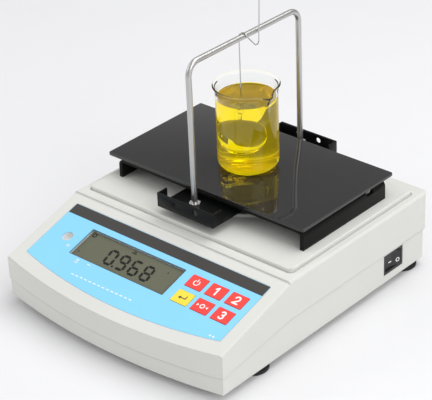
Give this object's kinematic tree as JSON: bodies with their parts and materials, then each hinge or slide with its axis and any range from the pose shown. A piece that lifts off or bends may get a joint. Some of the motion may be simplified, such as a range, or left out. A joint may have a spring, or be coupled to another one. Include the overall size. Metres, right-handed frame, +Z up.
{
  "type": "benchtop density meter",
  "caption": "Low plastic balance with a sloping keypad, a weighing tray with a U-shaped hanger, and a bridge that carries a beaker round the hanging sinker.",
  "frame": {"origin": "on the bench, under the middle of the case's bounding box", "axes": "+X to the right seen from the keypad, +Y from the keypad to the back, +Z up"},
  "size_m": [0.19, 0.221, 0.2019],
  "materials": {
    "case_light": "fine textured moulding, off-white",
    "case_base": "fine textured moulding, off-white",
    "overlay_blue": "printed polyester film, satin sky blue",
    "key_red": "satin red",
    "key_yellow": "satin yellow",
    "window_clear": "clear pane",
    "lcd_face": "grey-green liquid-crystal glass",
    "black_plastic": "black moulding",
    "level_white": "ivory moulding",
    "level_clear": "clear lens",
    "board_green": "solder mask",
    "component_black": "epoxy packages",
    "steel": "plated steel",
    "aluminium": "machined",
    "tray_black": "satin black powder coat",
    "rod_steel": "drawn stainless steel",
    "wire_steel": "bright stainless wire",
    "stand_black": "polished black sheet",
    "rubber_black": "rubber",
    "clear_glass": "borosilicate glass"
  },
  "bodies": {
    "case": {"upper_case": "case_light", "lower_case": "case_base", "case_screws": "steel", "keypad_overlay": "overlay_blue", "key_board": "board_green", "key_domes": "steel", "key_board_screws": "steel", "display_window": "window_clear", "lcd_glass": "lcd_face", "lcd_frame": "black_plastic", "level_cup": "level_white", "level_lens": "level_clear", "main_board": "board_green", "board_parts": "component_black", "main_board_screws": "steel", "chassis_plate": "aluminium", "chassis_screws": "steel", "cell_spacer": "aluminium", "load_cell": "aluminium", "cell_base_screws": "steel", "stop_screw": "steel", "stop_nut": "steel", "post_seal": "rubber_black", "bridge": "stand_black", "bridge_pads": "rubber_black", "top_plate": "stand_black", "switch_housing": "black_plastic", "power_socket": "black_plastic", "data_socket": "steel"},
    "key_power": {"key_power": "key_red"},
    "key_one": {"key_one": "key_red"},
    "key_two": {"key_two": "key_red"},
    "key_enter": {"key_enter": "key_yellow"},
    "key_zero": {"key_zero": "key_red"},
    "key_three": {"key_three": "key_red"},
    "rocker": {"rocker": "black_plastic"},
    "weighing_group": {"pan_carrier": "aluminium", "carrier_screws": "steel", "weighing_tray": "tray_black", "tray_screw": "steel", "hanger_frame": "rod_steel", "hanger_nuts": "steel"},
    "wire": {"suspension_wire": "wire_steel"},
    "sinker": {"sinker": "clear_glass"},
    "beaker": {"beaker": "clear_glass"},
    "pad_front_left": {"foot_pad_front_left": "rubber_black"},
    "screw_front_left": {"foot_screw_front_left": "black_plastic"},
    "pad_front_right": {"foot_pad_front_right": "rubber_black"},
    "screw_front_right": {"foot_screw_front_right": "black_plastic"},
    "pad_rear_left": {"foot_pad_rear_left": "rubber_black"},
    "screw_rear_left": {"foot_screw_rear_left": "black_plastic"},
    "pad_rear_right": {"foot_pad_rear_right": "rubber_black"},
    "screw_rear_right": {"foot_screw_rear_right": "black_plastic"}
  },
  "joints": [
    {"name": "key_power_press", "type": "slide", "parent": "case", "child": "key_power", "axis": [0, 0.284, -0.9588], "range_m": [0, 0.0003], "stiffness_N_per_m": 3000},
    {"name": "key_one_press", "type": "slide", "parent": "case", "child": "key_one", "axis": [0, 0.284, -0.9588], "range_m": [0, 0.0003], "stiffness_N_per_m": 3000},
    {"name": "key_two_press", "type": "slide", "parent": "case", "child": "key_two", "axis": [0, 0.284, -0.9588], "range_m": [0, 0.0003], "stiffness_N_per_m": 3000},
    {"name": "key_enter_press", "type": "slide", "parent": "case", "child": "key_enter", "axis": [0, 0.284, -0.9588], "range_m": [0, 0.0003], "stiffness_N_per_m": 3000},
    {"name": "key_zero_press", "type": "slide", "parent": "case", "child": "key_zero", "axis": [0, 0.284, -0.9588], "range_m": [0, 0.0003], "stiffness_N_per_m": 3000},
    {"name": "key_three_press", "type": "slide", "parent": "case", "child": "key_three", "axis": [0, 0.284, -0.9588], "range_m": [0, 0.0003], "stiffness_N_per_m": 3000},
    {"name": "rocker_tilt", "type": "hinge", "parent": "case", "child": "rocker", "pos_m": [0.0907, 0.0735, 0.019], "axis": [0, 0, 1], "range_deg": [0, 16]},
    {"name": "weigh_travel", "type": "slide", "parent": "case", "child": "weighing_group", "axis": [0, 0, -1], "range_m": [0, 0.00025], "stiffness_N_per_m": 23000, "springref_m": -0.0002},
    {"name": "wire_lift", "type": "slide", "parent": "weighing_group", "child": "wire", "axis": [0, 0, 1], "range_m": [0, 0.04]},
    {"name": "sinker_swing", "type": "hinge", "parent": "wire", "child": "sinker", "pos_m": [-0.00255, 0.0348, 0.11945], "axis": [0, 1, 0], "range_deg": [-8, 8]},
    {"name": "beaker_lift", "type": "slide", "parent": "case", "child": "beaker", "axis": [0, 0, 1], "range_m": [0, 0.012]},
    {"name": "foot_front_left_height", "type": "slide", "parent": "case", "child": "pad_front_left", "axis": [0, 0, -1], "range_m": [0, 0.004]},
    {"name": "foot_front_left_turn", "type": "hinge", "parent": "pad_front_left", "child": "screw_front_left", "pos_m": [-0.082, -0.0585, 0.0033], "axis": [0, 0, -1], "range_deg": [0, 1440]},
    {"name": "foot_front_right_height", "type": "slide", "parent": "case", "child": "pad_front_right", "axis": [0, 0, -1], "range_m": [0, 0.004]},
    {"name": "foot_front_right_turn", "type": "hinge", "parent": "pad_front_right", "child": "screw_front_right", "pos_m": [0.082, -0.0585, 0.0033], "axis": [0, 0, -1], "range_deg": [0, 1440]},
    {"name": "foot_rear_left_height", "type": "slide", "parent": "case", "child": "pad_rear_left", "axis": [0, 0, -1], "range_m": [0, 0.004]},
    {"name": "foot_rear_left_turn", "type": "hinge", "parent": "pad_rear_left", "child": "screw_rear_left", "pos_m": [-0.082, 0.0985, 0.0033], "axis": [0, 0, -1], "range_deg": [0, 1440]},
    {"name": "foot_rear_right_height", "type": "slide", "parent": "case", "child": "pad_rear_right", "axis": [0, 0, -1], "range_m": [0, 0.004]},
    {"name": "foot_rear_right_turn", "type": "hinge", "parent": "pad_rear_right", "child": "screw_rear_right", "pos_m": [0.082, 0.0985, 0.0033], "axis": [0, 0, -1], "range_deg": [0, 1440]}
  ],
  "couplings": [
    {"joint": "foot_front_left_turn", "follows": "foot_front_left_height", "rad_per_m": 6283.2},
    {"joint": "foot_front_right_turn", "follows": "foot_front_right_height", "rad_per_m": 6283.2},
    {"joint": "foot_rear_left_turn", "follows": "foot_rear_left_height", "rad_per_m": 6283.2},
    {"joint": "foot_rear_right_turn", "follows": "foot_rear_right_height", "rad_per_m": 6283.2}
  ]
}
